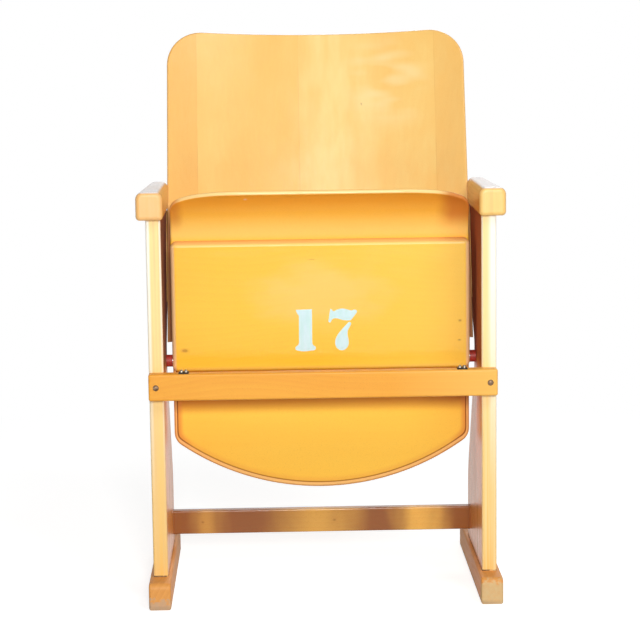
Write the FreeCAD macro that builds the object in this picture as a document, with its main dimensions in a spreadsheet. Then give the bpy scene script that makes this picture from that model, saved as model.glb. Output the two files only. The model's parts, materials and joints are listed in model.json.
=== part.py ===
import FreeCAD, Part
import os
import Sketcher
from FreeCAD import Placement, Rotation, Vector

# Tip-up cinema seat: two wooden side frames joined by a front rail and a stretcher,
# a bent plywood back between them, and a seat that turns on two pins.
# Millimetres. +Z is up, +Y is to the rear, +X is to the viewer's right, and so are left and right here.
# The origin is on the floor, midway between the feet and midway along them. The seat is drawn tipped up.

SIZES = (
    ("foot_length", 360, "foot, front to back"),
    ("foot_width", 33, "foot, side to side"),
    ("foot_height", 40, "foot, floor to top"),
    ("foot_lead", 43, "foot's front end ahead of the side panel"),
    ("foot_round", 3.5, "rounding of the foot's edges"),
    ("foot_nose", 9, "rounding of the foot's top front edge"),
    ("side_clear", 474, "clear width between the side panels"),
    ("panel_thickness", 22, "side panel"),
    ("panel_top", 579.5, "height of the side panel's top"),
    ("waist_depth", 118, "side panel at its waist, front to back"),
    ("waist_above", 19.5, "waist's upper end above the pivot"),
    ("waist_below", 14.5, "waist's lower end below the pivot"),
    ("waist_top_round", 26, "radius of the rear edge above the waist"),
    ("waist_bottom_round", 60, "radius of the rear edge below the waist"),
    ("shoulder_rise", 56, "shoulder above the waist, where the rear edge turns to follow the back"),
    ("shoulder_out", 54, "rear edge at the shoulder behind the waist"),
    ("shoulder_round", 60, "radius of the rear edge at the shoulder"),
    ("top_out", 38, "rear edge at the top behind the shoulder"),
    ("hip_height", 150, "height where the rear edge turns upright again"),
    ("hip_out", 112, "rear edge at the hip behind the waist"),
    ("hip_round", 120, "radius of the rear edge at the hip"),
    ("panel_round", 3, "rounding of the side panel's edges"),
    ("arm_width", 40, "armrest at its front"),
    ("arm_taper", 9, "how much narrower the armrest is at its rear"),
    ("arm_height", 42, "armrest, underside to top"),
    ("arm_lead", 15, "armrest's front end ahead of the side panel"),
    ("arm_inset", 4.5, "armrest's overhang on the sitter's side"),
    ("arm_back_gap", 0.5, "between the armrest's rear end and the back"),
    ("arm_crown", 11, "rounding of the armrest's long top edges"),
    ("arm_round", 6, "rounding of the armrest's front and lower edges"),
    ("rail_height", 40, "front rail, bottom to top"),
    ("rail_thickness", 20, "front rail"),
    ("rail_top", 352, "height of the front rail's top"),
    ("rail_round", 3, "rounding of the front rail's edges"),
    ("stretcher_height", 38, "stretcher, bottom to top"),
    ("stretcher_thickness", 16, "stretcher"),
    ("stretcher_low", 57.5, "height of the stretcher's underside"),
    ("stretcher_inset", 22, "stretcher's rear face ahead of the side panel's rear edge"),
    ("stretcher_round", 2.5, "rounding of the stretcher's edges"),
    ("back_side_gap", 0.8, "between the back's lower corners and the side panels"),
    ("back_taper", 4, "how much the back draws in on each side from bottom to top"),
    ("back_thickness", 10, "back plywood"),
    ("back_bend", 680, "radius of the back's front face"),
    ("back_length", 492, "back, along its slope"),
    ("back_angle", 14.4, "slope of the back, in degrees"),
    ("back_low", 378, "height of the back's lower edge"),
    ("back_depth", 122, "back's lower front corners behind the side panels' front edges"),
    ("back_corner", 56, "radius of the back's top corners"),
    ("back_round", 2.5, "rounding of the back's edges"),
    ("cleat_width", 24, "back cleat, side to side"),
    ("cleat_thickness", 20, "back cleat, square to the back"),
    ("cleat_length", 143, "back cleat, along the slope"),
    ("cleat_start", 65, "cleat's lower end above the back's lower edge, along the slope"),
    ("cleat_gap", 0.05, "glue line between a cleat and the curved back"),
    ("seat_side_gap", 9.5, "between the seat and each side panel"),
    ("board_depth", 83, "seat board's face behind the side panels' front edges"),
    ("board_thickness", 20, "seat board"),
    ("board_reach", 182.5, "seat board above the pivot"),
    ("board_tail", 16.5, "seat board below the pivot"),
    ("board_corner", 10, "radius of the seat board's corners"),
    ("board_round", 8, "rounding of the seat board's face edges"),
    ("pivot_height", 354.5, "height of the pivot"),
    ("shell_thickness", 7, "seat plywood"),
    ("shell_tail", 203, "seat plywood below the pivot"),
    ("shell_bend_start", 185.5, "height of the front bend's start above the pivot"),
    ("lip_radius", 72, "front bend's inside radius"),
    ("lip_angle", 75, "turn of the front bend, in degrees"),
    ("front_straight", 123.5, "straight part of the seat's front edge, each way from the middle"),
    ("front_curve", 168, "radius of the seat's front edge beside its straight part, in plan"),
    ("lip_corner", 28, "radius where the front edge meets the sides"),
    ("rear_sweep", 378, "radius of the seat's rear edge"),
    ("rear_corner", 24, "radius where the rear edge meets the sides"),
    ("shell_round", 3, "rounding of the seat plywood's edges"),
    ("pin_diameter", 10, "pivot pin"),
    ("pin_hold", 40, "pivot pin inside the seat board"),
    ("pin_reach", 15.5, "pivot pin inside the side panel"),
    ("running_gap", 0.05, "radial play of the pin in its sleeve"),
    ("sleeve_diameter", 14, "pivot sleeve, outside"),
    ("sleeve_length", 17, "pivot sleeve"),
    ("bush_diameter", 18.4, "red spacer bush, outside"),
    ("side_play", 0.3, "play between a bush and its side panel"),
    ("stop_drop", 39, "stop peg below the pivot"),
    ("stop_peg", 10, "stop peg, diameter"),
    ("stop_buffer", 16, "rubber buffer on the stop peg, diameter"),
    ("stop_catch", 11, "overlap of the buffer with the seat"),
    ("stop_hold", 14, "stop peg inside the side panel"),
    ("stop_play", 0.3, "play between a buffer and the tipped-up seat"),
    ("rest_width", 15, "rest plate, along the rail"),
    ("rest_length", 14, "rest plate, front to back"),
    ("rest_thickness", 2, "rest plate"),
    ("rest_inset", 30.5, "rest plate's middle inside the side panel's face"),
    ("rest_pitch", 6.6, "between the two screws of a rest plate"),
    ("dowel_diameter", 10, "wooden dowel"),
    ("dowel_length", 50, "wooden dowel"),
    ("dowel_low", 22, "dowel below the joint that it crosses"),
    ("foot_dowel_edge", 40, "foot dowels inside the side panel's front and rear edges"),
    ("arm_dowel_edge", 35, "armrest dowels inside the armrest's ends"),
    ("screw_shank", 4.5, "wood screw, diameter"),
    ("screw_head", 9, "wood screw's head, diameter"),
    ("screw_rise", 2.8, "wood screw's head, height"),
    ("slot_width", 1.2, "screwdriver slot, width"),
    ("slot_depth", 1.2, "screwdriver slot, depth"),
    ("fixing_gap", 0.05, "clearance round screws, dowels and sleeves"),
    ("rail_screw_length", 58, "front rail screw"),
    ("stretcher_screw_length", 55, "stretcher screw"),
    ("stretcher_screw_pitch", 18, "between the two screws at a stretcher end"),
    ("cleat_screw_length", 38, "screw from a cleat into its side panel"),
    ("cleat_screw_edge", 25, "cleat fixings inside the cleat's ends"),
    ("back_screw_bite", 7, "screw from a cleat into the back, beyond the cleat"),
    ("back_screw_edge", 45, "back fixings inside the cleat's ends"),
    ("rest_screw_shank", 2.8, "rest plate screw, diameter"),
    ("rest_screw_head", 6, "rest plate screw's head, diameter"),
    ("rest_screw_rise", 3.6, "rest plate screw's head, height"),
    ("rest_screw_length", 16, "rest plate screw"),
    ("seat_screw_head", 9, "countersunk seat screw's head, diameter"),
    ("seat_screw_length", 23, "seat screw"),
    ("seat_screw_spread", 150, "outer seat screws beside the middle"),
    ("seat_screw_low", 22, "lower seat screws above the pivot"),
    ("seat_screw_high", 155, "upper seat screws above the pivot"),
)

doc = FreeCAD.newDocument("cinema_seat")
dims = doc.addObject("Spreadsheet::Sheet", "dims")
for row, (alias, number, meaning) in enumerate(SIZES, start=1):
    dims.set(f"A{row}", meaning)
    dims.set(f"B{row}", str(number))
    dims.setAlias(f"B{row}", alias)
doc.recompute()

# Places that several pieces share, as expressions on the sheet.
FRONT = "(dims.foot_lead - dims.foot_length / 2)"
INNER = "(dims.side_clear / 2)"
OUTER = "(dims.side_clear / 2 + dims.panel_thickness)"
MIDDLE = "(dims.side_clear / 2 + dims.panel_thickness / 2)"
WAIST = f"({FRONT} + dims.waist_depth)"
HIP = f"({WAIST} + dims.hip_out)"
SEAT_HALF = "(dims.side_clear / 2 - dims.seat_side_gap)"
BOARD_FACE = f"({FRONT} + dims.board_depth)"
SHELL_FACE = f"({BOARD_FACE} + dims.board_thickness)"
PIVOT_Y = f"({BOARD_FACE} + dims.board_thickness / 2)"
SHELL_SPAN = "(dims.shell_tail + dims.shell_bend_start + dims.lip_radius)"
BACK_HALF = "(dims.side_clear / 2 - dims.back_side_gap)"
BEND_AXIS = f"sqrt(dims.back_bend ^ 2 - {BACK_HALF} ^ 2)"
ARM_FRONT = f"({FRONT} - dims.arm_lead)"
ARM_RISE = "(dims.panel_top + dims.arm_height - dims.back_low)"
ARM_REAR = f"({FRONT} + dims.back_depth + {ARM_RISE} * tan(dims.back_angle))"

# Directions that a screw or a hole runs in, as turns of +Z.
UP = Rotation()
DOWN = Rotation(Vector(1, 0, 0), 180)
TO_REAR = Rotation(Vector(1, 0, 0), -90)
TO_FRONT = Rotation(Vector(1, 0, 0), 90)
TO_RIGHT = Rotation(Vector(0, 1, 0), 90)
TO_LEFT = Rotation(Vector(0, 1, 0), -90)
ROUND_X = Rotation(Vector(1, 1, 1), 120)

SIDES = (("left", -1), ("right", 1))
OUTWARD = {-1: TO_LEFT, 1: TO_RIGHT}
INWARD = {-1: TO_RIGHT, 1: TO_LEFT}

# Lengths closer than TINY are the same. Faces whose normals agree by FLOWING or more meet without a corner.
TINY = 0.001
FLOWING = 0.9

nodes = []


def size(expression):
    """The number that an expression on the sheet has now."""
    return float(dims.evalExpression(expression))


def bind(item, **expressions):
    """Tie properties of an object to expressions on the sheet."""
    for name, expression in expressions.items():
        item.setExpression(name, expression)
    return item


def place(item, x="0", y="0", z="0", turn=None):
    """Put an object at x, y, z, which stay tied to the sheet."""
    if turn is not None:
        item.Placement = Placement(Vector(), turn)
    for axis, expression in zip("xyz", (x, y, z)):
        item.setExpression(f"Placement.Base.{axis}", expression)
    return item


def leaned(item):
    """Carry an object from the back's own frame to where the back stands and leans."""
    place(item, "0", f"{FRONT} + dims.back_depth", "dims.back_low", Rotation(Vector(-1, 0, 0), 1))
    item.setExpression("Placement.Rotation.Angle", "dims.back_angle")
    return item


def block(name, length, width, height, x, y, z):
    """A box from its lowest corner."""
    item = doc.addObject("Part::Box", name)
    bind(item, Length=length, Width=width, Height=height)
    return place(item, x, y, z)


def rod(name, diameter, length, x, y, z, turn):
    """A round bar that starts at x, y, z and runs along turn."""
    item = doc.addObject("Part::Cylinder", name)
    bind(item, Radius=f"({diameter}) / 2", Height=length)
    return place(item, x, y, z, turn)


def ring(name, outside, inside, length, x, y, z, turn):
    """A tube that starts at x, y, z and runs along turn."""
    return cut(name, rod(f"{name}_outside", outside, length, x, y, z, turn),
               [rod(f"{name}_bore", inside, length, x, y, z, turn)])


def group(name, items):
    """Several solids as one object."""
    item = doc.addObject("Part::Compound", name)
    item.Links = items
    return item


def cut(name, base, tools):
    """A piece with tools taken away."""
    item = doc.addObject("Part::Cut", name)
    item.Base = base
    item.Tool = tools[0] if len(tools) == 1 else group(f"{name}_tools", tools)
    return item


def overlap(name, first, second):
    """What two solids have in common."""
    item = doc.addObject("Part::Common", name)
    item.Base = first
    item.Tool = second
    return item


def joined(name, first, second):
    """Two solids as one."""
    item = doc.addObject("Part::Fuse", name)
    item.Base = first
    item.Tool = second
    item.Refine = True
    return item


def piece(label, item):
    """Make an object a sub-part of the seat, under its own name."""
    item.Label = label
    nodes.append(item)
    return item


def bare_body(name):
    """An empty body."""
    return doc.addObject("PartDesign::Body", name)


def bar(body, length, width, height, x, y, z):
    """A body's first solid: a box from its lowest corner."""
    item = body.newObject("PartDesign::AdditiveBox", f"{body.Name}_bar")
    bind(item, Length=length, Width=width, Height=height)
    place(item, x, y, z)
    doc.recompute()
    return item


def outline_pad(body, role, corners, start, length):
    """A body's first solid: a polygon on one of its planes, pinned by its corners and padded."""
    plane = next(item for item in body.Origin.OriginFeatures if item.Role == role)
    sketch = body.newObject("Sketcher::SketchObject", f"{body.Name}_outline")
    sketch.AttachmentSupport = [(plane, "")]
    sketch.MapMode = "FlatFace"
    sketch.setExpression("AttachmentOffset.Base.z", start)
    points = [Vector(size(across), size(along), 0) for across, along in corners]
    for number, point in enumerate(points):
        sketch.addGeometry(Part.LineSegment(point, points[(number + 1) % len(points)]))
    for number in range(len(points)):
        following = (number + 1) % len(points)
        sketch.addConstraint(Sketcher.Constraint("Coincident", number, 2, following, 1))
    for number, corner in enumerate(corners):
        for kind, expression in zip(("DistanceX", "DistanceY"), corner):
            pin = sketch.addConstraint(Sketcher.Constraint(kind, number, 1, size(expression)))
            sketch.setExpression(f"Constraints[{pin}]", expression)
    pad = body.newObject("PartDesign::Pad", f"{body.Name}_pad")
    pad.Profile = sketch
    bind(pad, Length=length)
    doc.recompute()
    return pad


def rounded(body, radius, wanted):
    """Round the edges of a body that the test wants."""
    base = body.Tip
    edges = [f"Edge{number}" for number, edge in enumerate(base.Shape.Edges, start=1) if wanted(edge)]
    item = body.newObject("PartDesign::Fillet", f"{body.Name}_round")
    item.Base = (base, edges)
    bind(item, Radius=radius)
    doc.recompute()
    return item


def softened(name, base, radius, wanted):
    """Round the edges of a finished solid that the test wants."""
    doc.recompute()
    amount = size(radius)
    item = doc.addObject("Part::Fillet", name)
    item.Base = base
    item.Edges = [(number, amount, amount)
                  for number, edge in enumerate(base.Shape.Edges, start=1) if wanted(edge)]
    doc.recompute()
    return item


def is_rim(shape, edge, thickness):
    """Whether an edge runs along the rim of a sheet: two faces meet there at a corner."""
    if edge.Length < 2 * thickness:
        return False
    middle = edge.valueAt((edge.FirstParameter + edge.LastParameter) / 2)
    normals = []
    for face in shape.ancestorsOfType(edge, Part.Face):
        normals.append(face.normalAt(*face.Surface.parameter(middle)))
    return abs(normals[0].dot(normals[1])) < FLOWING


def runs_along(edge, axis):
    """Whether an edge is straight and parallel to an axis."""
    if edge.Curve.TypeId != "Part::GeomLine":
        return False
    return abs(abs(edge.Curve.Direction.dot(axis)) - 1) < TINY


def is_near(number, other):
    """Whether two lengths are the same."""
    return abs(number - other) < TINY


def wood_screw(name, length, x, y, z, turn, kind="screw"):
    """A round-head slotted screw with its head's seat at x, y, z, driven along turn."""
    dome = doc.addObject("Part::Ellipsoid", f"{name}_dome")
    dome.Angle1 = -90
    dome.Angle2 = 0
    head = f"dims.{kind}_head / 2"
    bind(dome, Radius1=f"dims.{kind}_rise", Radius2=head, Radius3=head)
    shank = rod(f"{name}_shank", f"dims.{kind}_shank", length, "0", "0", "0", UP)
    slot = block(f"{name}_slot", f"dims.{kind}_head", "dims.slot_width", "dims.slot_depth",
                 f"-{head}", "-dims.slot_width / 2", f"-dims.{kind}_rise")
    return place(cut(name, joined(f"{name}_solid", dome, shank), [slot]), x, y, z, turn)


def screw_hole(name, length, x, y, z, turn, kind="screw"):
    """The hole for such a screw."""
    return rod(name, f"dims.{kind}_shank + 2 * dims.fixing_gap", length, x, y, z, turn)


def dowel_pair(name, middle, front, rear, joint):
    """Two dowels across a level joint, and the holes for them."""
    low = f"{joint} - dims.dowel_low"
    pegs = []
    holes = []
    for end, along in (("front", front), ("rear", rear)):
        spot = (middle, along, low, UP)
        pegs.append(rod(f"{name}_{end}", "dims.dowel_diameter", "dims.dowel_length", *spot))
        hole_size = "dims.dowel_diameter + 2 * dims.fixing_gap"
        holes.append(rod(f"{name}_{end}_hole", hole_size, "dims.dowel_length", *spot))
    return pegs, holes


def foot(side, sign, holes):
    """A runner on the floor, with a rounded nose."""
    body = bare_body(f"{side}_foot_blank")
    bar(body, "dims.foot_width", "dims.foot_length", "dims.foot_height",
        f"{sign} * {MIDDLE} - dims.foot_width / 2", "-dims.foot_length / 2", "0")
    nose = (-size("dims.foot_length / 2"), size("dims.foot_height"))
    rounded(body, "dims.foot_nose",
            lambda edge: runs_along(edge, Vector(1, 0, 0)) and is_near(edge.CenterOfMass.y, nose[0])
            and is_near(edge.CenterOfMass.z, nose[1]))
    rounded(body, "dims.foot_round",
            lambda edge: not runs_along(edge, Vector(1, 0, 0)) or is_near(edge.CenterOfMass.y, -nose[0]))
    return piece(f"{side}_foot", cut(f"{side}_foot", body, holes))


def side_panel(side, sign, holes):
    """A waisted upright board between the foot and the armrest."""
    body = bare_body(f"{side}_side_panel_blank")
    waist_top = (WAIST, "dims.pivot_height + dims.waist_above")
    waist_bottom = (WAIST, "dims.pivot_height - dims.waist_below")
    shoulder = (f"{WAIST} + dims.shoulder_out", f"{waist_top[1]} + dims.shoulder_rise")
    top_rear = (f"{shoulder[0]} + dims.top_out", "dims.panel_top")
    hip = (HIP, "dims.hip_height")
    foot_rear = (HIP, "dims.foot_height")
    corners = [(FRONT, "dims.foot_height"), foot_rear, hip, waist_bottom, waist_top, shoulder, top_rear,
               (FRONT, "dims.panel_top")]
    start = INNER if sign > 0 else f"-{OUTER}"
    outline_pad(body, "YZ_Plane", corners, start, "dims.panel_thickness")
    bends = ((shoulder, "dims.shoulder_round"), (waist_top, "dims.waist_top_round"),
             (waist_bottom, "dims.waist_bottom_round"), (hip, "dims.hip_round"))
    for (along, up), radius in bends:
        spot = (size(along), size(up))
        rounded(body, radius,
                lambda edge: runs_along(edge, Vector(1, 0, 0)) and is_near(edge.CenterOfMass.y, spot[0])
                and is_near(edge.CenterOfMass.z, spot[1]))
    rounded(body, "dims.panel_round",
            lambda edge: is_near(edge.BoundBox.XLength, 0) and edge.BoundBox.ZLength > TINY)
    return piece(f"{side}_side_panel", cut(f"{side}_side_panel", body, holes))


def armrest(side, sign, holes):
    """A short block with a crowned top, which narrows to the rear and ends along the back's slope."""
    body = bare_body(f"{side}_armrest_blank")
    inside = f"{sign} * ({INNER} - dims.arm_inset)"
    outside = f"{sign} * ({INNER} - dims.arm_inset + dims.arm_width)"
    outside_rear = f"{sign} * ({INNER} - dims.arm_inset + dims.arm_width - dims.arm_taper)"
    corners = [(inside, ARM_FRONT), (outside, ARM_FRONT), (outside_rear, ARM_REAR), (inside, ARM_REAR)]
    outline_pad(body, "XY_Plane", corners, "dims.panel_top", "dims.arm_height")
    low = size("dims.panel_top")
    rounded(body, "dims.arm_crown",
            lambda edge: edge.BoundBox.YLength > TINY and edge.BoundBox.ZMin > low + TINY)
    rounded(body, "dims.arm_round",
            lambda edge: is_near(edge.BoundBox.YMax, size(ARM_FRONT))
            or edge.BoundBox.YLength > TINY and is_near(edge.BoundBox.ZMax, low))
    return piece(f"{side}_armrest", cut(f"{side}_armrest", body, holes))


def front_rail(holes):
    """The rail across the front edges of the side panels, on which the seat rests when it is down."""
    body = bare_body("front_rail_blank")
    bar(body, f"2 * {OUTER}", "dims.rail_thickness", "dims.rail_height",
        f"-{OUTER}", f"{FRONT} - dims.rail_thickness", "dims.rail_top - dims.rail_height")
    rounded(body, "dims.rail_round", lambda edge: edge.CenterOfMass.y < size(FRONT) - TINY)
    return piece("front_rail", cut("front_rail", body, holes))


def stretcher(holes):
    """The low board between the side panels."""
    body = bare_body("stretcher_blank")
    bar(body, "dims.side_clear", "dims.stretcher_thickness", "dims.stretcher_height",
        f"-{INNER}", f"{STRETCHER_FACE}", "dims.stretcher_low")
    rounded(body, "dims.stretcher_round", lambda edge: runs_along(edge, Vector(1, 0, 0)))
    return piece("stretcher", cut("stretcher", body, holes))


def back(holes):
    """A bent plywood sheet that draws in upwards, with rounded top corners and a level lower edge."""
    trim = "dims.back_thickness * 3"
    sheet_length = f"dims.back_length + {trim}"
    low = f"-({trim})"
    outside = rod("back_outside", "2 * (dims.back_bend + dims.back_thickness)", sheet_length,
                  "0", f"-{BEND_AXIS}", low, UP)
    inside = rod("back_inside", "2 * dims.back_bend", sheet_length, "0", f"-{BEND_AXIS}", low, UP)
    bent = cut("back_bent", outside, [inside])
    shape = bare_body("back_shape")
    low_half = f"({BACK_HALF} + dims.back_taper * {trim} / dims.back_length)"
    top_half = f"({BACK_HALF} - dims.back_taper)"
    corners = [(f"-{low_half}", low), (low_half, low), (top_half, "dims.back_length"),
               (f"-{top_half}", "dims.back_length")]
    outline_pad(shape, "XZ_Plane", corners, f"{BACK_HALF} - 2 * dims.back_bend", "2 * dims.back_bend")
    rounded(shape, "dims.back_corner",
            lambda edge: runs_along(edge, Vector(0, 1, 0))
            and is_near(edge.CenterOfMass.z, size("dims.back_length")))
    sheet = leaned(overlap("back_sheet", bent, shape))
    below = block("back_below", f"2 * {INNER}", "dims.back_bend", "dims.back_length",
                  f"-{INNER}", f"{FRONT} - dims.back_depth", "dims.back_low - dims.back_length")
    level = cut("back_level", sheet, [below])
    doc.recompute()
    soft = softened("back_soft", level, "dims.back_round",
                    lambda edge: is_rim(level.Shape, edge, size("dims.back_thickness")))
    return piece("backrest", cut("backrest", soft, holes))


def back_cleat(side, sign, holes):
    """A batten behind the back, on the side panel's inner face."""
    body = bare_body(f"{side}_back_cleat_blank")
    near = f"({INNER} - dims.cleat_width)"
    corners = []
    for across, behind in ((INNER, "0"), (near, "0"), (near, CLEAT_RUN), (INNER, CLEAT_RUN)):
        along = f"{CLEAT_TOUCH} - {CLEAT_SLOPE} * ({across} - {CLEAT_MIDDLE}) + {behind}"
        corners.append((f"{sign} * {across}", along))
    outline_pad(body, "XY_Plane", corners, "dims.cleat_start", "dims.cleat_length")
    return piece(f"{side}_back_cleat", leaned(cut(f"{side}_back_cleat", body, holes)))


def seat_shell(holes):
    """The plywood of the seat: flat, with a front edge that curls down and a swept rear edge."""
    spare = "dims.shell_thickness"
    wide = f"2 * ({SEAT_HALF} + {spare})"
    left = f"-({SEAT_HALF} + {spare})"
    bend_height = "dims.pivot_height + dims.shell_bend_start"
    flat = block("shell_flat", wide, "dims.shell_thickness", "dims.shell_tail + dims.shell_bend_start",
                 left, SHELL_FACE, "dims.pivot_height - dims.shell_tail")
    bend_spot = (left, f"{SHELL_FACE} - dims.lip_radius", bend_height, ROUND_X)
    outside = rod("lip_outside", "2 * (dims.lip_radius + dims.shell_thickness)", wide, *bend_spot)
    inside = rod("lip_inside", "2 * dims.lip_radius", wide, *bend_spot)
    bind(outside, Angle="dims.lip_angle")
    bind(inside, Angle="dims.lip_angle")
    strip = joined("shell_strip", flat, cut("shell_lip", outside, [inside]))
    sweep = rod("shell_sweep", "2 * dims.rear_sweep", "4 * dims.lip_radius", "0",
                f"{SHELL_FACE} - 2 * dims.lip_radius",
                "dims.pivot_height - dims.shell_tail + dims.rear_sweep", TO_REAR)
    plan_depth = "dims.shell_tail + 2 * dims.lip_radius"
    plan = block("shell_plan", f"2 * {SEAT_HALF}", plan_depth, f"2 * {SHELL_SPAN}",
                 f"-{SEAT_HALF}", "0", f"-{SHELL_SPAN}")
    front_half = "(dims.front_straight + dims.front_curve)"
    front = block("shell_front", f"2 * {front_half}", plan_depth, f"2 * {SHELL_SPAN}",
                  f"-{front_half}", "0", f"-{SHELL_SPAN}")
    curved = softened("shell_curved", front, "dims.front_curve",
                      lambda edge: runs_along(edge, Vector(0, 0, 1)) and is_near(edge.CenterOfMass.y, 0))
    outline = softened("shell_outline", overlap("shell_ended", plan, curved), "dims.lip_corner",
                       lambda edge: runs_along(edge, Vector(0, 0, 1))
                       and is_near(abs(edge.CenterOfMass.x), size(SEAT_HALF))
                       and edge.CenterOfMass.y < size("dims.front_curve"))
    place(outline, "0", *bend_spot[1:3], turn=Rotation(Vector(-1, 0, 0), 1))
    outline.setExpression("Placement.Rotation.Angle", "90 - dims.lip_angle")
    shape = overlap("shell_shape", overlap("shell_swept", strip, sweep), outline)
    cornered = softened("shell_cornered", shape, "dims.rear_corner",
                        lambda edge: runs_along(edge, Vector(0, 1, 0))
                        and edge.CenterOfMass.z < size("dims.pivot_height"))
    soft = softened("shell_soft", cornered, "dims.shell_round",
                    lambda edge: is_rim(cornered.Shape, edge, size("dims.shell_thickness")))
    return piece("seat_shell", cut("seat_shell", soft, holes))


def seat_board(holes):
    """The thick board under the seat, which holds the pivot pins."""
    body = bare_body("seat_board_blank")
    bar(body, f"2 * {SEAT_HALF}", "dims.board_thickness", "dims.board_reach + dims.board_tail",
        f"-{SEAT_HALF}", BOARD_FACE, "dims.pivot_height - dims.board_tail")
    rounded(body, "dims.board_corner", lambda edge: runs_along(edge, Vector(0, 1, 0)))
    rounded(body, "dims.board_round", lambda edge: is_near(edge.BoundBox.YMax, size(BOARD_FACE)))
    return piece("seat_board", cut("seat_board", body, holes))


def seat_screw(name, x, z):
    """A countersunk screw from the sitting face into the seat board, and its hole."""
    face = f"{SHELL_FACE} + dims.shell_thickness"
    items = []
    for kind, gap in (("", "0"), ("_hole", "dims.fixing_gap")):
        shank = rod(f"{name}{kind}_shank", f"dims.screw_shank + 2 * {gap}", "dims.seat_screw_length",
                    "0", "0", "0", UP)
        head = doc.addObject("Part::Cone", f"{name}{kind}_head")
        bind(head, Radius1=f"dims.seat_screw_head / 2 + {gap}", Radius2=f"dims.screw_shank / 2 + {gap}",
             Height="(dims.seat_screw_head - dims.screw_shank) / 2")
        items.append(place(joined(f"{name}{kind}", head, shank), x, face, z, TO_FRONT))
    return items


# Values that the back's cleats share: where a cleat touches the curved back, and how that line slopes.
CLEAT_MIDDLE = f"({INNER} - dims.cleat_width / 2)"
CLEAT_DEPTH = f"sqrt((dims.back_bend + dims.back_thickness) ^ 2 - {CLEAT_MIDDLE} ^ 2)"
CLEAT_TOUCH = f"({CLEAT_DEPTH} - {BEND_AXIS} + dims.cleat_gap / {CLEAT_DEPTH} * dims.back_bend)"
CLEAT_SLOPE = f"({CLEAT_MIDDLE} / {CLEAT_DEPTH})"
CLEAT_TURN = f"atan({CLEAT_MIDDLE} / {CLEAT_DEPTH})"
CLEAT_RUN = f"(dims.cleat_thickness / cos({CLEAT_TURN}))"
STRETCHER_FACE = f"({HIP} - dims.stretcher_inset - dims.stretcher_thickness)"

# What the back takes off the rear ends of the armrests.
behind_arms = leaned(group("behind_arms", [
    block("behind_arms_block", f"2 * ({INNER} + dims.arm_width)", "dims.back_bend", "2 * dims.back_length",
          f"-({INNER} + dims.arm_width)", "-dims.arm_back_gap", "-dims.back_length")]))

# Fixings of the frame, with the holes that they need.
foot_dowels = []
arm_dowels = []
rail_screws = []
rail_holes = []
stretcher_screws = []
stretcher_holes = []
cleat_screws = []
back_screws = []
back_holes = []
rest_screws = []

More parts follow.
